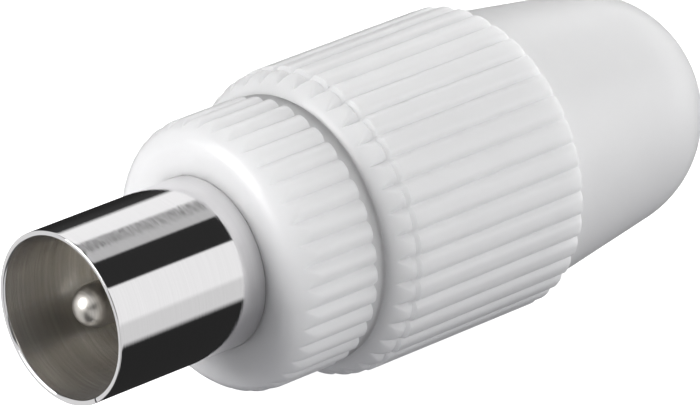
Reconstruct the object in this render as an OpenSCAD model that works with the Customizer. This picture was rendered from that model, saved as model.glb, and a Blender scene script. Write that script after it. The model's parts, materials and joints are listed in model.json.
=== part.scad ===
// Coaxial aerial plug with a rolled sheet sleeve, a turned centre contact
// and a two-piece screwed plastic housing.
// The plug lies on its side: the sleeve points along -Y and the cable leaves along +Y.
// The origin is on the plug's axis, in the plane of the collar's front face.

/* [Shield sleeve] */
// Outer diameter of the plug sleeve
sleeve_d = 9.52; // [9.3:0.02:9.8]
// Length of the sleeve in front of the collar
sleeve_reach = 10.1; // [8:0.1:12]
// Thickness of the rolled sheet
sheet_t = 0.3; // [0.2:0.05:0.4]
// Width of the open seam
seam_gap = 0.12; // [0.08:0.02:0.3]
// Direction of the seam about the axis, from +X towards +Z
seam_angle = -54.5; // [-75:0.5:-35]
// Depth of the waist that the collar's lip runs in
waist_depth = 0.2; // [0.1:0.05:0.3]
// Outer diameter of the barrel that holds the insulator
barrel_d = 10; // [9.8:0.1:10.6]
// Length of the barrel
barrel_len = 6; // [4:0.25:7]
// Length of the open cradle behind the barrel
cradle_len = 8.4; // [8:0.2:10]
// Length over which the cradle slopes down to the clamp
cradle_slope = 3.4; // [2:0.2:5]
// Angle of the cradle's arc
cradle_arc = 130; // [90:5:150]
// Inner diameter of the cable clamp
clamp_d = 7.2; // [6.6:0.1:8]
// Length of the cable clamp
clamp_len = 5; // [4:0.25:6]
// Angle of the clamp's open mouth
clamp_mouth = 110; // [80:5:140]
// Gap between the front and rear pair of clamp wings
wing_gap = 0.8; // [0.4:0.1:1.5]

/* [Centre contact] */
// Diameter of the contact pin
pin_d = 2.36; // [2.2:0.02:2.5]
// Distance of the pin's tip behind the sleeve's rim
pin_recess = 1.2; // [0.5:0.1:2.5]
// Diameter of the shank held in the insulator
shank_d = 3; // [2.8:0.1:3.6]
// Diameter of the terminal behind the insulator
terminal_d = 4.6; // [4.2:0.1:5.2]
// Length of the terminal
terminal_len = 6.8; // [6.6:0.2:7.6]
// Diameter of the hole for the cable's inner conductor
wire_hole_d = 1.6; // [1.2:0.1:2]
// Depth of the conductor hole
wire_hole_depth = 6; // [5:0.25:6.25]
// Width of the countersink at the mouth of the conductor hole
wire_lead_in = 0.4; // [0.2:0.05:0.6]

/* [Terminal screw] */
// Diameter of the screw's thread
screw_d = 2.4; // [2:0.1:2.8]
// Diameter of the screw's head
screw_head_d = 3.8; // [3.2:0.1:4.2]
// Height of the screw's head
screw_head_h = 1.3; // [1:0.1:1.6]
// Width of the driver slot
screw_slot_w = 0.5; // [0.4:0.05:0.7]
// Depth of the driver slot
screw_slot_depth = 0.6; // [0.4:0.05:0.8]
// Distance that the head stands off the terminal
screw_stand_off = 0.4; // [0.2:0.05:0.8]

/* [Front collar] */
// Diameter over the collar's ribs
collar_d = 15.18; // [14.8:0.02:16]
// Length of the ribbed collar
collar_len = 5.45; // [4:0.05:6.5]
// Radius of the collar's front shoulder
collar_shoulder = 1.65; // [1:0.05:1.8]
// Thickness of the lip that runs in the sleeve's waist
lip_t = 2; // [1.2:0.1:2.6]
// Depth of the grooves between the collar's ribs
collar_groove_depth = 0.28; // [0.15:0.01:0.35]
// Width of a collar groove at its floor
collar_groove_floor = 0.12; // [0.08:0.02:0.2]
// Width of a collar groove at the crest of the ribs
collar_groove_mouth = 0.64; // [0.4:0.02:0.8]
// Diameter of the neck that stops the cap
neck_d = 14.3; // [14.2:0.05:14.5]
// Diameter of the collar's threaded spigot
spigot_d = 13.2; // [12.8:0.1:13.4]
// Length of the spigot behind the collar
spigot_len = 5; // [3.5:0.25:6]
// Wall of the spigot
spigot_wall = 1.15; // [0.8:0.05:1.3]

/* [Rear cap] */
// Gap between the collar and the cap
cap_gap = 0.65; // [0.3:0.05:1]
// Diameter over the ribs of the cap's front band
band_d = 17; // [16.9:0.02:17.4]
// Length of the front band
band_len = 1.25; // [1.25:0.05:2]
// Radius of the front band's shoulder
band_shoulder = 1.15; // [0.6:0.05:1.2]
// Width of the turned groove behind the front band
ring_groove_w = 0.35; // [0.2:0.05:0.6]
// Depth of the turned groove below the crest of the front band
ring_groove_depth = 0.1; // [0.04:0.01:0.16]
// Diameter over the cap's long ribs
rib_d = 17.2; // [16.8:0.02:17.6]
// Length of the long ribs
rib_len = 12.1; // [9:0.1:15]
// Depth of the grooves between the cap's ribs
rib_groove_depth = 0.32; // [0.2:0.01:0.4]
// Width of a cap groove at its floor
rib_groove_floor = 0.16; // [0.1:0.02:0.3]
// Width of a cap groove at the crest of the ribs
rib_groove_mouth = 0.56; // [0.4:0.02:0.8]
// Diameter of the smooth tail where it leaves the ribs
tail_d = 16; // [15.2:0.02:16.4]
// Length of the tail's tapered part
tail_taper_len = 9.2; // [7:0.2:12]
// Diameter of the tail where its round end starts
tail_end_d = 13.36; // [12.6:0.02:14]
// Radius of the tail's round end
tail_round = 6.5; // [5:0.1:6.6]
// Diameter of the cable hole
cable_hole_d = 7; // [6.2:0.1:7.6]
// Width of the flat rim around the cable hole
cable_rim = 0.4; // [0.2:0.05:0.8]
// Wall of the tail
tail_wall = 1.3; // [1:0.05:1.8]
// Length of the slope between the cap's bore and the hollow of the tail
bore_slope = 1; // [0.6:0.1:2]

/* [Grip] */
// Number of ribs around the collar and around the cap
rib_count = 38; // [30:2:40]
// Radius of the moulded edges
edge_round = 0.25; // [0.1:0.05:0.35]

/* [Fits] */
// Radial clearance of the collar's lip in the sleeve's waist
turn_clearance = 0.1; // [0.05:0.01:0.2]
// Radial clearance of the spigot in the cap's bore
thread_clearance = 0.2; // [0.1:0.02:0.3]
// Clearance of the insulator in the barrel, of the shank in the insulator and of the cap on the neck
seat_clearance = 0.03; // [0.01:0.01:0.06]
// Radial clearance of the terminal screw in its hole
screw_clearance = 0.05; // [0.03:0.01:0.1]

/* [Hidden] */
$fn = 96;

// Excess length of cutting shapes
over = 1;
// Excess height of the cutting shapes of the grip
skim = 0.2;
// Segments in a quarter of a rounded edge
arc_steps = 6;

// Radii
sleeve_r = sleeve_d / 2;
waist_r = sleeve_r - waist_depth;
barrel_r = barrel_d / 2;
clamp_r = clamp_d / 2 + sheet_t;
pin_r = pin_d / 2;
shank_r = shank_d / 2;
terminal_r = terminal_d / 2;
wire_hole_r = wire_hole_d / 2;
screw_r = screw_d / 2;
collar_r = collar_d / 2;
lip_r = waist_r + turn_clearance;
neck_r = neck_d / 2;
spigot_r = spigot_d / 2;
band_r = band_d / 2;
rib_r = rib_d / 2;
cap_bore_r = spigot_r + thread_clearance;
tail_r = tail_d / 2;
tail_end_r = tail_end_d / 2;
cable_hole_r = cable_hole_d / 2;

// Places along the axis, counted rearwards from the collar's front face
rim_z = -sleeve_reach;
waist_end_z = lip_t + turn_clearance;
barrel_z = waist_end_z + barrel_r - waist_r;
cradle_z = barrel_z + barrel_len;
clamp_z = cradle_z + cradle_len;
clamp_end_z = clamp_z + clamp_len;
insulator_z = barrel_z + seat_clearance;
terminal_z = cradle_z + seat_clearance;
terminal_end_z = terminal_z + terminal_len;
screw_z = terminal_end_z - wire_hole_depth / 2;
spigot_end_z = collar_len + spigot_len;
cap_z = collar_len + cap_gap;
neck_end_z = cap_z - seat_clearance;
band_end_z = cap_z + band_len;
rib_z = band_end_z + ring_groove_w;
rib_end_z = rib_z + rib_len;
tail_round_z = rib_end_z + tail_taper_len;

// The tail's round end is tangent to its taper
tail_slope = atan((tail_r - tail_end_r) / tail_taper_len);
round_centre_z = tail_round_z - tail_round * sin(tail_slope);
round_centre_r = tail_end_r - tail_round * cos(tail_slope);
round_outer_end = acos((cable_hole_r + cable_rim - round_centre_r) / tail_round);
round_inner_end = acos((cable_hole_r - round_centre_r) / (tail_round - tail_wall));
cap_end_z = round_centre_z + tail_round * sin(round_outer_end);

// Points of an arc in the section plane, [radius, place along the axis].
// The angle is counted from straight outwards towards the rear.
function arc(centre_r, centre_z, radius, from, to, steps) =
    [for (i = [0:steps])
        let (a = from + (to - from) * i / steps)
        [centre_r + radius * cos(a), centre_z + radius * sin(a)]];

// Lays a shape drawn along +Z with its rear end towards +Y
module lay() {
    rotate([-90, 0, 0]) children();
}

// A slice of a round bar, open by half_angle to each side of the downward direction
module slice(half_angle, from_z, to_z, radius) {
    steps = 12;
    translate([0, 0, from_z])
        linear_extrude(to_z - from_z)
            polygon(concat(
                [[0, 0]],
                [for (i = [0:steps])
                    let (a = 90 - half_angle + 2 * half_angle * i / steps)
                    radius * [cos(a), sin(a)]]));
}

// Outer line of the rolled sheet from the waist to the end of the cable clamp
function sheet_line(inset) = [
    [waist_r - inset, waist_depth],
    [waist_r - inset, waist_end_z],
    [barrel_r - inset, barrel_z],
    [barrel_r - inset, clamp_z - cradle_slope],
    [clamp_r - inset, clamp_z],
    [clamp_r - inset, clamp_end_z]];

// Sleeve, barrel, cradle and cable clamp, rolled from one sheet
module shield_sleeve() {
    edge = sheet_t / 2;
    inner = sheet_line(sheet_t);
    wing_z = clamp_z + (clamp_len - wing_gap) / 2;
    color("silver")
        lay()
            difference() {
                rotate_extrude()
                    polygon(concat(
                        arc(sleeve_r - edge, rim_z + edge, edge, -180, 0, 2 * arc_steps),
                        [[sleeve_r, 0]],
                        sheet_line(0),
                        [for (i = [len(inner) - 1:-1:0]) inner[i]],
                        [[sleeve_r - sheet_t, 0]]));
                rotate([0, 0, -seam_angle])
                    translate([0, -seam_gap / 2, rim_z - over])
                        cube([barrel_r + over, seam_gap, clamp_end_z - rim_z + 2 * over]);
                slice(180 - cradle_arc / 2, cradle_z, clamp_z, 3 * barrel_r);
                slice(180 - cradle_arc / 2, wing_z, wing_z + wing_gap, 3 * barrel_r);
                slice(clamp_mouth / 2, clamp_z - over / 10, clamp_end_z + over, 2 * barrel_r);
            }
}

// Bush that holds the centre contact in the barrel
module insulator() {
    color("ivory")
        lay()
            translate([0, 0, insulator_z])
                difference() {
                    cylinder(r = barrel_r - sheet_t - seat_clearance, h = cradle_z - insulator_z);
                    translate([0, 0, -over])
                        cylinder(r = shank_r + seat_clearance, h = barrel_len + 2 * over);
                }
}

// Turned contact: round-nosed pin, shank and drilled terminal
module centre_pin() {
    tip_z = rim_z + pin_recess;
    color("gainsboro")
        lay()
            difference() {
                rotate_extrude()
                    polygon(concat(
                        [for (p = arc(0, tip_z + pin_r, pin_r, -90, 0, 2 * arc_steps)) [max(p[0], 0), p[1]]],
                        [[pin_r, insulator_z],
                        [shank_r, insulator_z],
                        [shank_r, terminal_z],
                        [terminal_r, terminal_z],
                        [terminal_r, terminal_end_z - edge_round],
                        [terminal_r - edge_round, terminal_end_z],
                        [0, terminal_end_z]]));
                translate([0, 0, terminal_end_z - wire_hole_depth])
                    cylinder(r = wire_hole_r, h = wire_hole_depth + over);
                translate([0, 0, terminal_end_z - wire_lead_in])
                    cylinder(r1 = wire_hole_r, r2 = wire_hole_r + 2 * wire_lead_in, h = 2 * wire_lead_in);
                translate([0, wire_hole_r / 2, screw_z])
                    rotate([-90, 0, 0])
                        cylinder(r = screw_r + screw_clearance, h = terminal_r + over);
            }
}

// Slotted screw that clamps the inner conductor, driven through the open side of the cradle
module terminal_screw() {
    tip = wire_hole_r + screw_clearance;
    head = terminal_r + screw_stand_off;
    color("lightgrey")
        lay()
            translate([0, 0, screw_z])
                rotate([-90, 0, 0])
                    difference() {
                        union() {
                            translate([0, 0, tip])
                                cylinder(r = screw_r, h = head - tip);
                            translate([0, 0, head])
                                cylinder(d = screw_head_d, h = screw_head_h);
                        }
                        translate([-screw_head_d, -screw_slot_w / 2, head + screw_head_h - screw_slot_depth])
                            cube([2 * screw_head_d, screw_slot_w, screw_slot_depth + over]);
                    }
}

// Grooves between the ribs of a grip, with one groove straight below the axis
module grip_grooves(crest_r, depth, floor_w, mouth_w, from_z, to_z) {
    top = mouth_w / 2 + skim * (mouth_w - floor_w) / 2 / depth;
    translate([0, 0, from_z])
        linear_extrude(to_z - from_z)
            for (i = [0:rib_count - 1])
                rotate([0, 0, 90 + i * 360 / rib_count])
                    translate([crest_r, 0])
                        polygon([
                            [-depth, -floor_w / 2],
                            [skim, -top],
                            [skim, top],
                            [-depth, floor_w / 2]]);
}

// Ribbed collar with a lip that turns in the sleeve's waist, a neck that stops the cap and a spigot for it
module front_collar() {
    spigot_bore_r = spigot_r - spigot_wall;
    color("whitesmoke")
        lay()
            difference() {
                rotate_extrude()
                    polygon(concat(
                        [[lip_r, waist_depth], [lip_r + waist_depth, 0]],
                        arc(collar_r - collar_shoulder, collar_shoulder, collar_shoulder,
                            -90, 0, 2 * arc_steps),
                        arc(collar_r - edge_round, collar_len - edge_round, edge_round, 0, 90, arc_steps),
                        [[neck_r, collar_len],
                        [neck_r, neck_end_z],
                        [spigot_r, neck_end_z],
                        [spigot_r, spigot_end_z - edge_round],
                        [spigot_r - edge_round, spigot_end_z],
                        [spigot_bore_r, spigot_end_z],
                        [spigot_bore_r, lip_t],
                        [lip_r, lip_t]]));
                grip_grooves(collar_r, collar_groove_depth, collar_groove_floor, collar_groove_mouth,
                    -over, collar_len + over);
            }
}

// Hood with a ribbed grip, a tapered tail and the cable hole
module rear_cap() {
    inner_r = tail_r - tail_wall / cos(tail_slope);
    inner_round = tail_round - tail_wall;
    color("whitesmoke")
        lay()
            difference() {
                rotate_extrude()
                    polygon(concat(
                        [[cap_bore_r, cap_z + edge_round], [cap_bore_r + edge_round, cap_z]],
                        arc(band_r - band_shoulder, cap_z + band_shoulder, band_shoulder,
                            -90, 0, 2 * arc_steps),
                        [[band_r, band_end_z],
                        [band_r - ring_groove_depth, band_end_z + ring_groove_w / 2],
                        [rib_r, rib_z]],
                        arc(rib_r - edge_round, rib_end_z - edge_round, edge_round, 0, 90, arc_steps),
                        [[tail_r, rib_end_z]],
                        arc(round_centre_r, round_centre_z, tail_round,
                            tail_slope, round_outer_end, 2 * arc_steps),
                        [[cable_hole_r, cap_end_z]],
                        arc(round_centre_r, round_centre_z, inner_round,
                            round_inner_end, tail_slope, 2 * arc_steps),
                        [[inner_r, rib_end_z], [cap_bore_r, rib_end_z - bore_slope]]));
                grip_grooves(rib_r, rib_groove_depth, rib_groove_floor, rib_groove_mouth,
                    cap_z - over, rib_end_z + over);
            }
}

shield_sleeve();
insulator();
centre_pin();
terminal_screw();
front_collar();
rear_cap();
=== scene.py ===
import json
import math

import bmesh
import bpy
import numpy as np
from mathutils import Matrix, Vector

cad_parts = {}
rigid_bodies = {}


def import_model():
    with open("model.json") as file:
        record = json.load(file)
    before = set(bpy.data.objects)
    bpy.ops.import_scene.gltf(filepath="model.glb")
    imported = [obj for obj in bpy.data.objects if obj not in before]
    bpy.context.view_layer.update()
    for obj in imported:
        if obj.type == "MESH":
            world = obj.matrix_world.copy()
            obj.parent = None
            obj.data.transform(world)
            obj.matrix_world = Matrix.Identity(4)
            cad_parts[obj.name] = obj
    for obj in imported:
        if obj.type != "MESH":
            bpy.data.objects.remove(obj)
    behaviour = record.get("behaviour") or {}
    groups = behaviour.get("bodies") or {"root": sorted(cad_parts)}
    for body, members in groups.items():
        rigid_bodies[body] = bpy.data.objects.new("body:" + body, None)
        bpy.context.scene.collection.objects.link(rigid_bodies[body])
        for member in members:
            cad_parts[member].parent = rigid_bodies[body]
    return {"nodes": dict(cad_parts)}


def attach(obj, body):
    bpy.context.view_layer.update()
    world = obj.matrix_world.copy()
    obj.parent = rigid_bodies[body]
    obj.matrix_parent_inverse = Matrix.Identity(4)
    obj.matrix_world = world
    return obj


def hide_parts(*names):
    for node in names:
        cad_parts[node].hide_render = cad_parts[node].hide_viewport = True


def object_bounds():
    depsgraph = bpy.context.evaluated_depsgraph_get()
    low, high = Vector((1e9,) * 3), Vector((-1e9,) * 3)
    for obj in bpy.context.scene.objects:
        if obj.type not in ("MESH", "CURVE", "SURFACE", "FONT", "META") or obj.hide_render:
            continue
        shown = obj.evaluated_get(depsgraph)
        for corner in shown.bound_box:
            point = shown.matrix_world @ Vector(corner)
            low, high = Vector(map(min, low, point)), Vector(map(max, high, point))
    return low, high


for startObject in list(bpy.data.objects):  # the cube, lamp and camera of a new file
    bpy.data.objects.remove(startObject)
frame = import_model()
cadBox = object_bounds()
mm = 0.001  # sizes below are in millimetres, Blender works in metres
print("frame loaded:", ", ".join(sorted(frame["nodes"])))


# sRGB hex text to a linear colour
def hexColour(text):
    srgb = np.array([int(text[place:place + 2], 16) for place in (0, 2, 4)]) / 255
    linear = np.where(srgb <= 0.04045, srgb / 12.92, ((srgb + 0.055) / 1.055) ** 2.4)
    return (*linear.tolist(), 1.0)


# one node with its settings, its socket values and its links
def addNode(tree, kind, settings=None, values=None, links=None):
    node = tree.nodes.new(kind)
    for name, value in (settings or {}).items():
        setattr(node, name, value)
    for socket, value in (values or {}).items():
        node.inputs[socket].default_value = value
    for socket, source in (links or {}).items():
        tree.links.new(source, node.inputs[socket])
    return node


def newMaterial(name):
    material = bpy.data.materials.new(name)
    material.use_nodes = True
    material.node_tree.nodes.clear()
    return material, material.node_tree


# noise scale for features of a size in millimetres
def perSize(size):
    return 1 / (size * mm)


# points of an arc in the section plane as (radius, y): 0 degrees is straight outwards, 90 is to the rear
def arcLine(centreRadius, centreY, radius, start, end, steps):
    angle = np.radians(np.linspace(start, end, steps + 1))
    return np.column_stack([centreRadius + radius * np.cos(angle), centreY + radius * np.sin(angle)])


# points from start to end, with a support row close to each end so that the shading stays flat
def straightLine(start, end, steps=2, support=0.04):
    start, end = np.array(start, float), np.array(end, float)
    near = min(support / np.linalg.norm(end - start), 0.3)
    share = np.concatenate([[0, near], np.linspace(near, 1 - near, steps + 1)[1:-1], [1 - near, 1]])
    return start + share[:, None] * (end - start)


# joins stretches of a section and drops points that repeat
def joinLines(*lines):
    points = np.concatenate([np.atleast_2d(np.array(line, float)) for line in lines])
    step = np.linalg.norm(np.diff(points, axis=0), axis=1)
    return points[np.concatenate([[True], step > 1e-6])]


# x = radius cos(angle), z = radius sin(angle): a section turned about the Y axis, as a list of points
def turned(radius, y, angle):
    radius, y, angle = np.broadcast_arrays(radius, y, angle)
    return np.stack([radius * np.cos(angle), y, radius * np.sin(angle)], -1).reshape(-1, 3)


# quads between neighbouring rows and columns of a grid, which may run round to their start
def gridQuads(rows, columns, rowsClosed=False, columnsClosed=True):
    index = np.arange(rows * columns).reshape(rows, columns)
    if rowsClosed:
        index = np.vstack([index, index[:1]])
    if columnsClosed:
        index = np.hstack([index, index[:, :1]])
    return np.stack([index[:-1, :-1], index[:-1, 1:], index[1:, 1:], index[1:, :-1]], -1).reshape(-1, 4)


# the mesh of a piece: unused points are dropped, poles merged, and faces turned outwards
def makeMesh(name, points, quads, materialIndex=None, sharpAngle=32, mergeDistance=1e-7):
    used, corners = np.unique(quads, return_inverse=True)
    mesh = bpy.data.meshes.new(name)
    mesh.vertices.add(len(used))
    mesh.vertices.foreach_set("co", (points[used] * mm).astype(np.float32).ravel())
    mesh.loops.add(quads.size)
    mesh.loops.foreach_set("vertex_index", corners.astype(np.int32).ravel())
    mesh.polygons.add(len(quads))
    mesh.polygons.foreach_set("loop_start", np.arange(0, quads.size, 4, dtype=np.int32))
    if materialIndex is not None:
        mesh.polygons.foreach_set("material_index", materialIndex.astype(np.int32))
    mesh.update(calc_edges=True)
    mesh.validate()
    edit = bmesh.new()
    edit.from_mesh(mesh)
    bmesh.ops.remove_doubles(edit, verts=edit.verts, dist=mergeDistance)
    bmesh.ops.recalc_face_normals(edit, faces=edit.faces)
    edit.to_mesh(mesh)
    edit.free()
    mesh.shade_smooth()
    mesh.set_sharp_from_angle(angle=math.radians(sharpAngle))
    return mesh


# a finished piece that stands for a CAD node and rides on its body
def addPiece(name, mesh, materials, body, node):
    piece = bpy.data.objects.new(name, mesh)
    bpy.context.scene.collection.objects.link(piece)
    for material in materials:
        mesh.materials.append(material)
    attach(piece, body)
    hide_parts(node)
    print(f"{name}: {len(mesh.polygons)} faces")


# injection-moulded polypropylene, white: soft sheen, light sinks in a little and fills the grooves
plasticLook = {
    "pale": "F5F5F6", "grey": "EFEFF0", "cloudSize": 4.0,
    "grainSize": 0.12, "grainHeight": 0.0025, "grainStrength": 0.5,
    "roughness": 0.34, "glossSpread": 0.05, "ior": 1.49, "scatter": 1.0, "scatterDepth": 2.4,
}


def mouldedWhitePolypropylene():
    look = plasticLook
    material, tree = newMaterial("mouldedWhitePolypropylene")
    place = addNode(tree, "ShaderNodeTexCoord")
    cloud = addNode(tree, "ShaderNodeTexNoise", values={"Scale": perSize(look["cloudSize"]), "Detail": 3},
                    links={"Vector": place.outputs["Object"]})
    tint = addNode(tree, "ShaderNodeMix", {"data_type": "RGBA"},
                   {"A": hexColour(look["pale"]), "B": hexColour(look["grey"])},
                   {"Factor": cloud.outputs["Fac"]})
    grain = addNode(tree, "ShaderNodeTexNoise", values={"Scale": perSize(look["grainSize"]), "Detail": 2},
                    links={"Vector": place.outputs["Object"]})
    gloss = addNode(tree, "ShaderNodeMapRange",
                    values={"To Min": look["roughness"] - look["glossSpread"],
                            "To Max": look["roughness"] + look["glossSpread"]},
                    links={"Value": cloud.outputs["Fac"]})
    bump = addNode(tree, "ShaderNodeBump",
                   values={"Strength": look["grainStrength"], "Distance": look["grainHeight"] * mm},
                   links={"Height": grain.outputs["Fac"]})
    shader = addNode(tree, "ShaderNodeBsdfPrincipled",
                     values={"IOR": look["ior"], "Subsurface Weight": look["scatter"],
                             "Subsurface Radius": (1.0, 1.0, 1.0),
                             "Subsurface Scale": look["scatterDepth"] * mm},
                     links={"Base Color": tint.outputs["Result"], "Roughness": gloss.outputs["Result"],
                            "Normal": bump.outputs["Normal"]})
    addNode(tree, "ShaderNodeOutputMaterial", links={"Surface": shader.outputs["BSDF"]})
    return material


# bright nickel plate on rolled sheet: mirror-like, with drawing lines round the tube, coarser than real
# ones so that they show
nickelLook = {"clear": "E6E5E6", "veil": "DDDCDD", "lineWidth": 0.09, "lineHeight": 0.0045,
              "roughness": 0.05, "metallic": 1.0}
# the plate inside the tube: satin, warm grey, with drawing marks that show as rings
insideLook = {"clear": "F5F3F0", "veil": "C8C4BF", "lineWidth": 0.14, "lineHeight": 0.008,
              "roughness": 0.2, "metallic": 0.8}
# turned and nickel-plated brass: satin, with tool marks round the pin
pinLook = {"clear": "D8D5D0", "veil": "B6B2AB", "lineWidth": 0.06, "lineHeight": 0.0015,
           "roughness": 0.32, "metallic": 1.0}
# zinc-plated steel: grey, satin, a little cloudy
zincLook = {"clear": "B9BABA", "veil": "8E9090", "lineWidth": 0.15, "lineHeight": 0.002,
            "roughness": 0.35, "metallic": 1.0}
# shared by the metals: how much longer than wide the lines are, their bump, and the spread of the gloss
lineLook = {"stretch": 50, "strength": 0.6, "glossSpread": 0.3}


# plated metal whose fine lines run round the Y axis: noise squeezed along Y and stretched across it
def ringedMetal(name, look):
    material, tree = newMaterial(name)
    place = addNode(tree, "ShaderNodeTexCoord")
    squeeze = addNode(tree, "ShaderNodeMapping", {"vector_type": "POINT"},
                      {"Scale": (1 / lineLook["stretch"], 1.0, 1 / lineLook["stretch"])},
                      {"Vector": place.outputs["Object"]})
    lines = addNode(tree, "ShaderNodeTexNoise", values={"Scale": perSize(look["lineWidth"]), "Detail": 3},
                    links={"Vector": squeeze.outputs["Vector"]})
    tint = addNode(tree, "ShaderNodeMix", {"data_type": "RGBA"},
                   {"A": hexColour(look["veil"]), "B": hexColour(look["clear"])},
                   {"Factor": lines.outputs["Fac"]})
    gloss = addNode(tree, "ShaderNodeMapRange",
                    values={"To Min": look["roughness"] * (1 - lineLook["glossSpread"]),
                            "To Max": look["roughness"] * (1 + lineLook["glossSpread"])},
                    links={"Value": lines.outputs["Fac"]})
    bump = addNode(tree, "ShaderNodeBump",
                   values={"Strength": lineLook["strength"], "Distance": look["lineHeight"] * mm},
                   links={"Height": lines.outputs["Fac"]})
    shader = addNode(tree, "ShaderNodeBsdfPrincipled", values={"Metallic": look["metallic"]},
                     links={"Base Color": tint.outputs["Result"], "Roughness": gloss.outputs["Result"],
                            "Normal": bump.outputs["Normal"]})
    addNode(tree, "ShaderNodeOutputMaterial", links={"Surface": shader.outputs["BSDF"]})
    return material


# natural polyethylene: milky, waxy and slightly translucent
bushLook = {"pale": "EDE9DE", "cloudy": "DDD8CA", "cloudSize": 1.5, "roughness": 0.45, "ior": 1.51,
            "scatter": 0.4, "scatterTint": (1.0, 0.9, 0.75), "scatterDepth": 0.8}


def naturalPolyethylene():
    look = bushLook
    material, tree = newMaterial("naturalPolyethylene")
    place = addNode(tree, "ShaderNodeTexCoord")
    cloud = addNode(tree, "ShaderNodeTexNoise", values={"Scale": perSize(look["cloudSize"]), "Detail": 3},
                    links={"Vector": place.outputs["Object"]})
    tint = addNode(tree, "ShaderNodeMix", {"data_type": "RGBA"},
                   {"A": hexColour(look["pale"]), "B": hexColour(look["cloudy"])},
                   {"Factor": cloud.outputs["Fac"]})
    shader = addNode(tree, "ShaderNodeBsdfPrincipled",
                     values={"Roughness": look["roughness"], "IOR": look["ior"],
                             "Subsurface Weight": look["scatter"], "Subsurface Radius": look["scatterTint"],
                             "Subsurface Scale": look["scatterDepth"] * mm},
                     links={"Base Color": tint.outputs["Result"]})
    addNode(tree, "ShaderNodeOutputMaterial", links={"Surface": shader.outputs["BSDF"]})
    return material


plastic = mouldedWhitePolypropylene()
nickelSheet = ringedMetal("brightNickelSheet", nickelLook)
dullInside = ringedMetal("dullNickelInside", insideLook)
turnedNickel = ringedMetal("turnedNickelBrass", pinLook)
zincSteel = ringedMetal("zincPlatedSteel", zincLook)
polyethylene = naturalPolyethylene()
print("materials made")

grip = {"ribCount": 38, "edgeSoftness": 0.04, "valleySoftness": 0.06}


# angles of the columns round a ribbed piece, and how far each is from a groove's middle (0) to a rib's (1).
# One groove lies straight below the axis
def ribColumns(shares):
    halfPitch = math.pi / grip["ribCount"]
    shares = np.array(shares)
    local = np.concatenate([-shares[::-1], shares[1:-1]])
    pitch = 2 * halfPitch * np.arange(grip["ribCount"])[:, None]
    angle = -math.pi / 2 + (pitch + halfPitch * local).ravel()
    return angle, np.tile(np.abs(local), grip["ribCount"])


# depth of a groove as a share of its full depth: (1 - share) ^ power, with a small rounding at the bottom
def grooveDip(share, power):
    soft = grip["valleySoftness"]
    eased = (np.sqrt(share ** 2 + soft ** 2) - soft) / (math.sqrt(1 + soft ** 2) - soft)
    return (1 - eased) ** power


# the lesser of two radii with a small rounding where they cross
def softLesser(first, second):
    return 0.5 * (first + second - np.sqrt((first - second) ** 2 + grip["edgeSoftness"] ** 2))


collar = {
    "crest": 7.59, "length": 5.45, "shoulder": 1.65, "rearEdge": 0.12, "grooveDepth": 0.34, "lobePower": 2.0,
    "columns": [0, 0.05, 0.11, 0.18, 0.27, 0.38, 0.51, 0.66, 0.83, 1.0],
    "lip": 4.66, "lipChamfer": 0.14, "lipThickness": 2.0, "neck": 7.2, "neckRise": 0.27, "neckEnd": 6.095,
    "spigot": 6.6, "spigotBore": 5.45, "spigotEnd": 10.45, "spigotEdge": 0.25,
    "threadLead": 1.5, "threadDepth": 0.36, "threadSharpness": 2.2, "threadRunOut": 0.5, "threadSteps": 44,
}


# Collar: its section turned about the axis, with the radius cut down to that of convex lobes,
# crest - depth (1 - share) ^ power. The spigot's radius dips along a right-handed helix,
# by a wave of the phase y / lead + angle / turn
def frontCollar():
    crest, shoulder, rear, edge = collar["crest"], collar["shoulder"], collar["length"], collar["rearEdge"]
    lip, chamfer, lipEnd = collar["lip"], collar["lipChamfer"], collar["lipThickness"]
    neck, neckEnd, spigot = collar["neck"], collar["neckEnd"], collar["spigot"]
    bore, end, endEdge = collar["spigotBore"], collar["spigotEnd"], collar["spigotEdge"]
    threadY = np.linspace(neckEnd, end - endEdge, collar["threadSteps"] + 1)
    section = joinLines(
        straightLine((lip, chamfer), (lip + chamfer, 0), steps=1),
        straightLine((lip + chamfer, 0), (crest - shoulder, 0)),
        arcLine(crest - shoulder, shoulder, shoulder, -90, 0, steps=28),
        straightLine((crest, shoulder), (crest, rear - edge), steps=3),
        arcLine(crest - edge, rear - edge, edge, 0, 90, steps=8),
        straightLine((crest - edge, rear), (neck, rear)),
        straightLine((neck, rear), (neck + collar["neckRise"], neckEnd)),
        np.column_stack([np.full_like(threadY, spigot), threadY]),
        (spigot - endEdge, end),
        straightLine((bore, end), (bore, lipEnd)),
        straightLine((bore, lipEnd), (lip, lipEnd), steps=1),
    )
    angle, share = ribColumns(collar["columns"])
    radius, y = section[:, :1], section[:, 1:]
    lobe = crest - collar["grooveDepth"] * grooveDip(share, collar["lobePower"])
    ribbed = (y <= rear) & (radius > neck)  # not the neck behind them
    surface = np.where(ribbed, softLesser(radius, lobe[None, :]), radius)
    phase = y / collar["threadLead"] + angle[None, :] / (2 * math.pi)
    sharpness = collar["threadSharpness"]
    wave = 0.5 - 0.5 * np.tanh(sharpness * np.cos(2 * math.pi * phase)) / math.tanh(sharpness)
    runOut = np.clip(np.minimum(y - neckEnd, end - y) / collar["threadRunOut"], 0, 1)
    onThread = np.isclose(radius, spigot) & (y > rear)
    surface = np.where(onThread, surface - collar["threadDepth"] * wave * runOut, surface)
    quads = gridQuads(len(section), len(angle), rowsClosed=True)
    mesh = makeMesh("frontCollar", turned(surface, y, angle[None, :]), quads)
    addPiece("frontCollar", mesh, [plastic], "collar", "front_collar")


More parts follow.
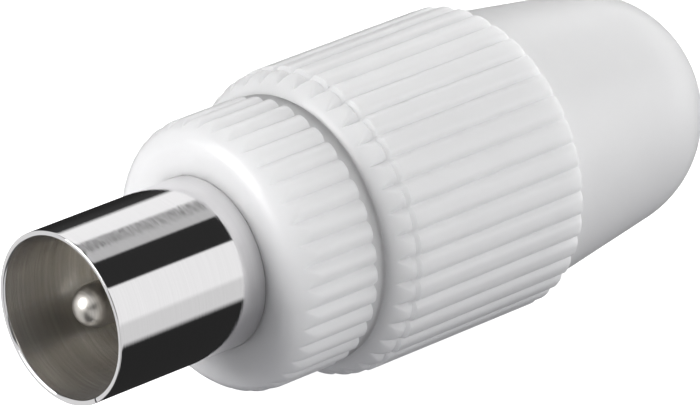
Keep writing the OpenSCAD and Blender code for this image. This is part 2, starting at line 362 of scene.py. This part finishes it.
cap = {
    "front": 6.1, "bore": 6.8, "boreEdge": 0.25,
    "band": 8.5, "shoulder": 1.15, "shoulderPower": 1.5, "shoulderSteps": 26,
    "bandEnd": 7.35, "ringWidth": 0.35, "ringRadius": 8.36, "rib": 8.6, "ribEnd": 19.8, "edge": 0.25,
    "grooveFloor": 8.28, "padPower": 3.6, "bandFloor": 8.0, "bandPower": 2.6,
    "columns": [0, 0.04, 0.08, 0.13, 0.19, 0.26, 0.35, 0.46, 0.6, 0.8, 1.0],
    "tail": 8.0, "tailEnd": 6.68, "taperLength": 9.2, "tailRound": 6.5, "hole": 3.5, "holeRim": 0.4,
    "wall": 1.3, "boreSlope": 1.0,
}


# Cap: its section turned about the axis. Between the ribs the radius goes from the crest line to the grooves'
# floor by (1 - share) ^ power, and the front shoulder cuts the pads off. The shoulder is a quarter of a
# superellipse, flatter than a circle
def rearCap():
    front, bore, band, shoulder = cap["front"], cap["bore"], cap["band"], cap["shoulder"]
    bandEnd, ring, rib, ribEnd = cap["bandEnd"], cap["ringRadius"], cap["rib"], cap["ribEnd"]
    edge, tail, tailEnd, tailRound = cap["edge"], cap["tail"], cap["tailEnd"], cap["tailRound"]
    hole, wall = cap["hole"], cap["wall"]
    faceStart, shoulderEnd, holeRim = bore + cap["boreEdge"], front + shoulder, hole + cap["holeRim"]
    ringMiddle, ribFront = bandEnd + cap["ringWidth"] / 2, bandEnd + cap["ringWidth"]
    roundStart = ribEnd + cap["taperLength"]
    slope = math.atan((tail - tailEnd) / cap["taperLength"])
    centreY = roundStart - tailRound * math.sin(slope)
    centreRadius = tailEnd - tailRound * math.cos(slope)
    outerEnd = math.acos((holeRim - centreRadius) / tailRound)
    innerEnd = math.acos((hole - centreRadius) / (tailRound - wall))
    endY = centreY + tailRound * math.sin(outerEnd)
    innerTail = tail - wall / math.cos(slope)
    slopeDegrees, outerDegrees, innerDegrees = np.degrees([slope, outerEnd, innerEnd])
    quarter = np.radians(np.linspace(0, 90, cap["shoulderSteps"] + 1))
    bend = 2 / cap["shoulderPower"]
    shoulderLine = np.column_stack([band - shoulder * (1 - np.sin(quarter) ** bend),
                                    shoulderEnd - shoulder * np.cos(quarter) ** bend])
    section = joinLines(
        straightLine((bore, front + cap["boreEdge"]), (faceStart, front), steps=1),
        straightLine((faceStart, front), (band - shoulder, front)),
        shoulderLine,
        straightLine((band, shoulderEnd), (band, bandEnd), steps=1, support=0.02),
        straightLine((band, bandEnd), (ring, ringMiddle), support=0.03),
        straightLine((ring, ringMiddle), (rib, ribFront), support=0.03),
        straightLine((rib, ribFront), (rib, ribEnd - edge), steps=7),
        arcLine(rib - edge, ribEnd - edge, edge, 0, 90, steps=8),
        straightLine((rib - edge, ribEnd), (tail, ribEnd), steps=3),
        straightLine((tail, ribEnd), (tailEnd, roundStart), steps=5),
        arcLine(centreRadius, centreY, tailRound, slopeDegrees, outerDegrees, steps=20),
        straightLine((holeRim, endY), (hole, endY), steps=1),
        arcLine(centreRadius, centreY, tailRound - wall, innerDegrees, slopeDegrees, steps=10),
        straightLine((innerTail, ribEnd), (bore, ribEnd - cap["boreSlope"]), steps=1),
    )
    angle, share = ribColumns(cap["columns"])
    radius, y = section[:, :1], section[:, 1:]
    onShoulder = (y < shoulderEnd) & (radius > faceStart)
    ribbed = onShoulder | ((y <= ribEnd) & (radius > tail))
    crestLine = np.where(y < shoulderEnd, band, radius)
    between = [bandEnd, ribFront]  # the grooves are deeper on the band than on the long ribs
    floor = np.minimum(np.interp(y, between, [cap["bandFloor"], cap["grooveFloor"]]), crestLine)
    power = np.interp(y, between, [cap["bandPower"], cap["padPower"]])
    pad = crestLine + (floor - crestLine) * grooveDip(share[None, :], power)
    surface = np.where(ribbed, softLesser(radius, pad), radius)
    quads = gridQuads(len(section), len(angle), rowsClosed=True)
    mesh = makeMesh("rearCap", turned(surface, y, angle[None, :]), quads)
    addPiece("rearCap", mesh, [plastic], "cap", "rear_cap")


sleeve = {
    "radius": 4.76, "sheet": 0.3, "rimInside": 0.14, "rimOutside": 0.05, "reach": 10.1,
    "waist": 4.56, "waistDepth": 0.2, "waistEnd": 2.1, "barrel": 5.0, "barrelStart": 2.54, "barrelEnd": 8.54,
    "slopeStart": 13.54, "clampStart": 16.94, "clamp": 3.9, "clampEnd": 21.94, "gapStart": 19.04,
    "gapEnd": 19.84, "seamAngle": -54.5, "seamGap": 0.12, "cradleArc": 130, "mouth": 110,
    "angleStep": 1.5, "stations": 13, "support": 0.04,
}


# Sleeve: one sheet on a grid of places along the axis and angles, with an inner skin, a rim with two rounded
# edges and an outer skin on one line of rows. Cells inside a cut are left out, and walls close the cuts
# between the skins
def shieldSleeve():
    radius, sheet, reach = sleeve["radius"], sleeve["sheet"], sleeve["reach"]
    inside, outside = sleeve["rimInside"], sleeve["rimOutside"]
    barrelEnd, clampStart = sleeve["barrelEnd"], sleeve["clampStart"]
    gapStart, gapEnd, support = sleeve["gapStart"], sleeve["gapEnd"], sleeve["support"]
    rimY = inside - reach
    lineY, lineRadius = np.array([
        (rimY, radius), (0, radius),
        (sleeve["waistDepth"], sleeve["waist"]), (sleeve["waistEnd"], sleeve["waist"]),
        (sleeve["barrelStart"], sleeve["barrel"]), (sleeve["slopeStart"], sleeve["barrel"]),
        (clampStart, sleeve["clamp"]), (sleeve["clampEnd"], sleeve["clamp"]),
    ]).T
    stations = np.unique(np.concatenate([
        lineY, [rimY + support, -support, barrelEnd, gapStart, gapEnd],
        np.linspace(rimY, 0, sleeve["stations"]),
        np.linspace(sleeve["barrelStart"], sleeve["clampEnd"], sleeve["stations"])]))
    outer = np.column_stack([np.interp(stations, lineY, lineRadius), stations])
    inner = outer - np.array([sheet, 0])
    # the steps of the two arcs keep the number of rows even, so that the skins face each other row by row
    rim = np.concatenate([arcLine(radius - sheet + inside, rimY, inside, -180, -90, steps=5)[1:],
                          arcLine(radius - outside, outside - reach, outside, -90, 0, steps=4)])
    section = np.concatenate([inner[::-1], rim, outer])
    seam = sleeve["seamAngle"]
    seamHalf = math.degrees(math.asin(sleeve["seamGap"] / 2 / radius))
    cradleHalf, mouthHalf = sleeve["cradleArc"] / 2, sleeve["mouth"] / 2
    cuts = [seam - seamHalf, seam + seamHalf, 90 - cradleHalf, 90 + cradleHalf,
            -90 - mouthHalf, -90 + mouthHalf]
    degrees = np.unique(np.concatenate([np.arange(-180, 180, sleeve["angleStep"]), cuts]))
    points = turned(section[:, :1], section[:, 1:], np.radians(degrees)[None, :])
    rows, columns = len(section), len(degrees)
    midY = (0.5 * (section[1:, 1] + section[:-1, 1]))[:, None]
    midAngle = (degrees + 0.5 * np.diff(np.append(degrees, 180)))[None, :]
    fromTop = np.abs(midAngle - 90)
    offTop = np.minimum(fromTop, 360 - fromTop) > cradleHalf
    removed = np.abs(midAngle - seam) < seamHalf
    removed = removed | (offTop & (midY > barrelEnd) & (midY < clampStart))
    removed = removed | (offTop & (midY > gapStart) & (midY < gapEnd))
    removed = removed | ((np.abs(midAngle + 90) < mouthHalf) & (midY > clampStart))
    kept = ~removed
    skins = gridQuads(rows, columns)[kept.ravel()]
    index = np.arange(rows * columns).reshape(rows, columns)
    across = index[::-1]  # the point of the other skin at the same place
    half = rows // 2
    # walls along the axis, where a kept cell meets a cut one to its left
    sideEdge = (kept != np.roll(kept, 1, axis=1))[:half - 1]
    along = np.stack([index[:half - 1], index[1:half], across[1:half], across[:half - 1]], -1)
    # walls across the axis, at the sheet's rear end and where a row of cells stops
    stop = np.vstack([kept[:1], kept[1:half] != kept[:half - 1]])
    nextIndex, nextAcross = np.roll(index, -1, axis=1), np.roll(across, -1, axis=1)
    ends = np.stack([index, nextIndex, nextAcross, across], -1)[:half]
    quads = np.concatenate([skins, along[sideEdge], ends[stop]])
    innerRows = len(stations) - 1
    skinRow = np.repeat(np.arange(rows - 1), columns)[kept.ravel()]
    onInside = np.concatenate([skinRow < innerRows, np.zeros(len(quads) - len(skins), bool)])
    mesh = makeMesh("shieldSleeve", points, quads, onInside)
    addPiece("shieldSleeve", mesh, [nickelSheet, dullInside], "contacts", "shield_sleeve")


pin = {
    "radius": 1.18, "tip": -8.9, "shank": 1.5, "shankStart": 2.57, "terminalStart": 8.57, "terminal": 2.3,
    "terminalEnd": 15.37, "edge": 0.25, "wireHole": 0.8, "wireDepth": 6.0, "leadIn": 0.4, "sides": 72,
}


# Centre pin: a section with a half-round nose and a drilled rear end, turned about the axis
def centrePin():
    radius, tip, shank, terminal = pin["radius"], pin["tip"], pin["shank"], pin["terminal"]
    shankStart, terminalStart, end = pin["shankStart"], pin["terminalStart"], pin["terminalEnd"]
    edge, hole, leadIn, holeEnd = pin["edge"], pin["wireHole"], pin["leadIn"], end - pin["wireDepth"]
    section = joinLines(
        arcLine(0, tip + radius, radius, -90, 0, steps=18),
        straightLine((radius, tip + radius), (radius, shankStart), steps=4),
        straightLine((shank, shankStart), (shank, terminalStart)),
        straightLine((terminal, terminalStart), (terminal, end - edge)),
        straightLine((terminal - edge, end), (hole + leadIn, end), steps=1),
        straightLine((hole, end - leadIn), (hole, holeEnd)),
        (0, holeEnd),
    )
    angle = np.linspace(0, 2 * math.pi, pin["sides"], endpoint=False)
    points = turned(section[:, :1], section[:, 1:], angle[None, :])
    mesh = makeMesh("centrePin", points, gridQuads(len(section), pin["sides"]))
    addPiece("centrePin", mesh, [turnedNickel], "contacts", "centre_pin")


frontCollar()
rearCap()
shieldSleeve()
centrePin()

# pieces that keep their CAD form, with a better finish
for nodeName, finish in (("insulator", polyethylene), ("terminal_screw", zincSteel)):
    node = frame["nodes"][nodeName]
    node.data.materials.clear()
    node.data.materials.append(finish)
print("pieces made")

# pale studio paper, matt and faintly mottled, that glows a little as a lit sweep does; its width is in metres
floorLook = {"width": 4.0, "colour": "F6F6F6", "light": "FFFFFF", "roughness": 0.9, "glow": 0.75,
             "mottle": 40.0}


# a flat grid under the plug, at the height of its lowest ribs
def studioFloor():
    half, height = floorLook["width"] / 2, cadBox[0].z
    share = np.linspace(-half, half, 3)
    x, y = np.meshgrid(share, share, indexing="ij")
    points = np.stack([x, y, np.full_like(x, height)], -1).reshape(-1, 3)
    mesh = bpy.data.meshes.new("studioFloor")
    mesh.from_pydata(points.tolist(), [], gridQuads(3, 3, columnsClosed=False)[:, ::-1].tolist())
    material, tree = newMaterial("paleStudioPaper")
    place = addNode(tree, "ShaderNodeTexCoord")
    mottle = addNode(tree, "ShaderNodeTexNoise", values={"Scale": perSize(floorLook["mottle"])},
                     links={"Vector": place.outputs["Object"]})
    light = hexColour(floorLook["light"])
    tint = addNode(tree, "ShaderNodeMix", {"data_type": "RGBA"},
                   {"A": hexColour(floorLook["colour"]), "B": light},
                   {"Factor": mottle.outputs["Fac"]})
    shader = addNode(tree, "ShaderNodeBsdfPrincipled",
                     values={"Roughness": floorLook["roughness"], "Emission Color": light,
                             "Emission Strength": floorLook["glow"]},
                     links={"Base Color": tint.outputs["Result"]})
    addNode(tree, "ShaderNodeOutputMaterial", links={"Surface": shader.outputs["BSDF"]})
    mesh.materials.append(material)
    floor = bpy.data.objects.new("studioFloor", mesh)
    bpy.context.scene.collection.objects.link(floor)
    floor.visible_glossy = False
    floor.visible_diffuse = False


# what the bright metal mirrors behind the collar, strip lights between dark flags: a first brightness, then
# each edge as (angle about the plug's axis from +X towards +Z, brightness beyond it, width of its fade)
stripLights = {"first": 0.025, "edges": [(-32, 0.8, 7), (-3, 1.05, 6), (45, 0.03, 2), (83, 0.6, 3),
                                         (100, 0.1, 8), (111, 1.1, 12), (152, 0.05, 8)]}
# the same for mirrors that look to the front: pale, with three dark flags
frontStrips = {"first": 0.85, "edges": [(-106, 0.1, 10), (-57, 0.75, 10), (4, 0.13, 8), (44, 0.85, 8),
                                        (113, 0.2, 10), (139, 0.85, 10)]}
softSky = {"below": 0.36, "darkFrom": 0.21, "front": 0.13, "tint": (0.97, 0.97, 1.03, 1.0), "fadeFrom": 0.0,
           "fadeTo": 0.25, "slantFrom": 90, "slantTo": 124, "slant": 12.0, "slantMiddle": 0.62}


# soft light from below, as from a white table, and a little from the front; mirrors see the strips instead
def studioWorld():
    world = bpy.data.worlds.new("softStudio")
    bpy.context.scene.world = world
    world.use_nodes = True
    tree = world.node_tree
    tree.nodes.clear()
    place = addNode(tree, "ShaderNodeTexCoord")
    axes = addNode(tree, "ShaderNodeSeparateXYZ", links={"Vector": place.outputs["Generated"]})
    angle = addNode(tree, "ShaderNodeMath", {"operation": "ARCTAN2"},
                    links={0: axes.outputs["Z"], 1: axes.outputs["X"]})
    # one edge of the strips is slanted, so that the fine lines round the tube fray its mirror image
    start, end = math.radians(softSky["slantFrom"]), math.radians(softSky["slantTo"])
    middle = 0.5 * (start + end)
    rise = addNode(tree, "ShaderNodeMapRange", {"interpolation_type": "SMOOTHSTEP"},
                   {"From Min": start, "From Max": middle}, {"Value": angle.outputs["Value"]})
    fall = addNode(tree, "ShaderNodeMapRange", {"interpolation_type": "SMOOTHSTEP"},
                   {"From Min": end, "From Max": middle}, {"Value": angle.outputs["Value"]})
    near = addNode(tree, "ShaderNodeMath", {"operation": "MULTIPLY"},
                   links={0: rise.outputs["Result"], 1: fall.outputs["Result"]})
    offset = addNode(tree, "ShaderNodeMath", {"operation": "MULTIPLY_ADD"},
                     {1: softSky["slant"], 2: -softSky["slant"] * softSky["slantMiddle"]},
                     {0: axes.outputs["Y"]})
    slanted = addNode(tree, "ShaderNodeMath", {"operation": "MULTIPLY_ADD"},
                      links={0: near.outputs["Value"], 1: offset.outputs["Value"], 2: angle.outputs["Value"]})
    share = addNode(tree, "ShaderNodeMapRange", values={"From Min": -math.pi, "From Max": math.pi},
                    links={"Value": slanted.outputs["Value"]})
    ramps = []
    for strips in (frontStrips, stripLights):  # two stops at each edge
        ramp = addNode(tree, "ShaderNodeValToRGB", links={"Fac": share.outputs["Result"]})
        stops, level = ramp.color_ramp.elements, strips["first"]
        stops[0].color = stops[1].color = (level, level, level, 1)
        for degrees, beyond, fade in strips["edges"]:
            stops.new((degrees - fade / 2 + 180) / 360).color = (level, level, level, 1)
            stops.new((degrees + fade / 2 + 180) / 360).color = (beyond, beyond, beyond, 1)
            level = beyond
        ramps.append(ramp.outputs["Color"])
    toRear = addNode(tree, "ShaderNodeMapRange", {"interpolation_type": "SMOOTHSTEP"},
                     {"From Min": softSky["fadeFrom"], "From Max": softSky["fadeTo"]},
                     {"Value": axes.outputs["Y"]})
    seen = addNode(tree, "ShaderNodeMix", {"data_type": "RGBA"},
                   links={"Factor": toRear.outputs["Result"], "A": ramps[0], "B": ramps[1]})
    mirrored = addNode(tree, "ShaderNodeBackground", links={"Color": seen.outputs["Result"]})
    below = addNode(tree, "ShaderNodeMapRange",
                    values={"From Min": -1.0, "From Max": softSky["darkFrom"], "To Min": softSky["below"],
                            "To Max": 0.0},
                    links={"Value": axes.outputs["Z"]})
    front = addNode(tree, "ShaderNodeMapRange",
                    values={"From Min": 0.0, "From Max": -1.0, "To Max": softSky["front"]},
                    links={"Value": axes.outputs["Y"]})
    total = addNode(tree, "ShaderNodeMath", {"operation": "ADD"},
                    links={0: below.outputs["Result"], 1: front.outputs["Result"]})
    soft = addNode(tree, "ShaderNodeBackground", values={"Color": softSky["tint"]},
                   links={"Strength": total.outputs["Value"]})
    path = addNode(tree, "ShaderNodeLightPath")
    mix = addNode(tree, "ShaderNodeMixShader",
                  links={0: path.outputs["Is Glossy Ray"], 1: soft.outputs["Background"],
                         2: mirrored.outputs["Background"]})
    addNode(tree, "ShaderNodeOutputWorld", links={"Surface": mix.outputs["Shader"]})


# area lights as (name, place in mm, size in mm, power in W, seen by mirrors)
lamps = [
    ("frontSoftbox", (-215, -520, 185), 330, 3.0, True),
    ("rightSoftbox", (550, 55, 230), 500, 2.35, False),
    ("rearSoftbox", (90, 555, 220), 500, 2.2, False),
    ("leftSoftbox", (-400, 360, 275), 500, 1.5, False),
    ("topSoftbox", (0, 6, 600), 500, 0.35, False),
]
lampTarget = (0, 6, 0)  # between collar and cap


def studioLamps():
    target = Vector(lampTarget) * mm
    for name, place, size, power, mirrored in lamps:
        light = bpy.data.lights.new(name, "AREA")
        light.shape, light.size, light.energy = "SQUARE", size * mm, power
        lamp = bpy.data.objects.new(name, light)
        lamp.location = Vector(place) * mm
        lamp.rotation_euler = (target - lamp.location).to_track_quat("-Z", "Y").to_euler()
        lamp.visible_glossy = mirrored
        bpy.context.scene.collection.objects.link(lamp)


view = {"azimuth": 46.64, "elevation": 24.48, "lens": 360, "sensor": 36, "target": (0.31, 10.26, 0.35),
        "distance": 375, "clip": (10, 20000)}


# long lens from the front right, looking down
def studioCamera():
    turn, rise = math.radians(view["azimuth"]), math.radians(view["elevation"])
    back = Vector((math.sin(turn) * math.cos(rise), -math.cos(turn) * math.cos(rise), math.sin(rise)))
    data = bpy.data.cameras.new("studioCamera")
    data.lens, data.sensor_width = view["lens"], view["sensor"]
    data.clip_start, data.clip_end = view["clip"][0] * mm, view["clip"][1] * mm
    camera = bpy.data.objects.new("studioCamera", data)
    camera.location = (Vector(view["target"]) + back * view["distance"]) * mm
    camera.rotation_euler = (-back).to_track_quat("-Z", "Y").to_euler()
    bpy.context.scene.collection.objects.link(camera)
    bpy.context.scene.camera = camera


studioFloor()
studioWorld()
studioLamps()
studioCamera()
bpy.context.scene.view_settings.view_transform = "Standard"
print("studio set")
